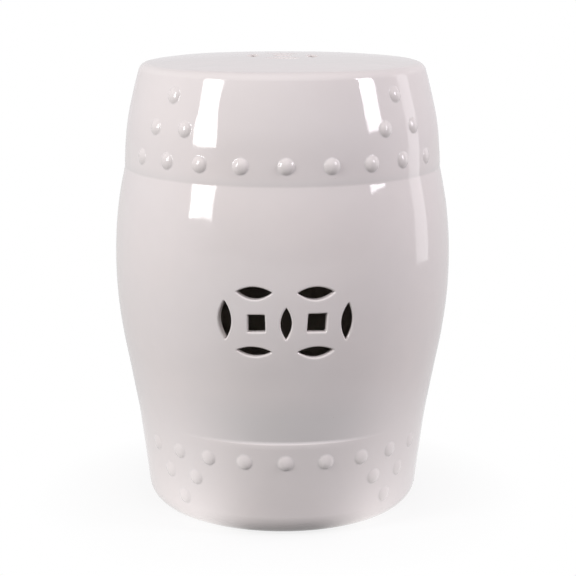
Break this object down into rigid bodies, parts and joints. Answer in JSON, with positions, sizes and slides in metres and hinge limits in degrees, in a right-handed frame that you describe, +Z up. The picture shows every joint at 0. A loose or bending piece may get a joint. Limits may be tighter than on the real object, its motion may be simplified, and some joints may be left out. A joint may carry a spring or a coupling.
{
  "type": "ceramic garden stool",
  "caption": "White glazed barrel-shaped garden stool, hollow and open underneath, with studded bands top and bottom and coin piercings in its sides and seat.",
  "frame": {"origin": "on the floor, at the centre of the foot", "axes": "+Z up along the barrel's axis, -Y to the front with its pierced coins, +X to the right of a viewer who faces the front"},
  "size_m": [0.3385, 0.3386, 0.457],
  "materials": {
    "white_glaze": "glossy white glaze with a faint warm tone, pooled a little thicker in the corners"
  },
  "bodies": {
    "root": {"seat_disc": "white_glaze", "upper_drum_section": "white_glaze", "belly_section": "white_glaze", "lower_drum_section": "white_glaze", "foot_ring": "white_glaze", "upper_row_studs": "white_glaze", "lower_row_studs": "white_glaze", "upper_triangle_studs_front_right": "white_glaze", "upper_triangle_studs_back_right": "white_glaze", "upper_triangle_studs_back_left": "white_glaze", "upper_triangle_studs_front_left": "white_glaze", "lower_triangle_studs_front_right": "white_glaze", "lower_triangle_studs_back_right": "white_glaze", "lower_triangle_studs_back_left": "white_glaze", "lower_triangle_studs_front_left": "white_glaze"}
  },
  "joints": []
}
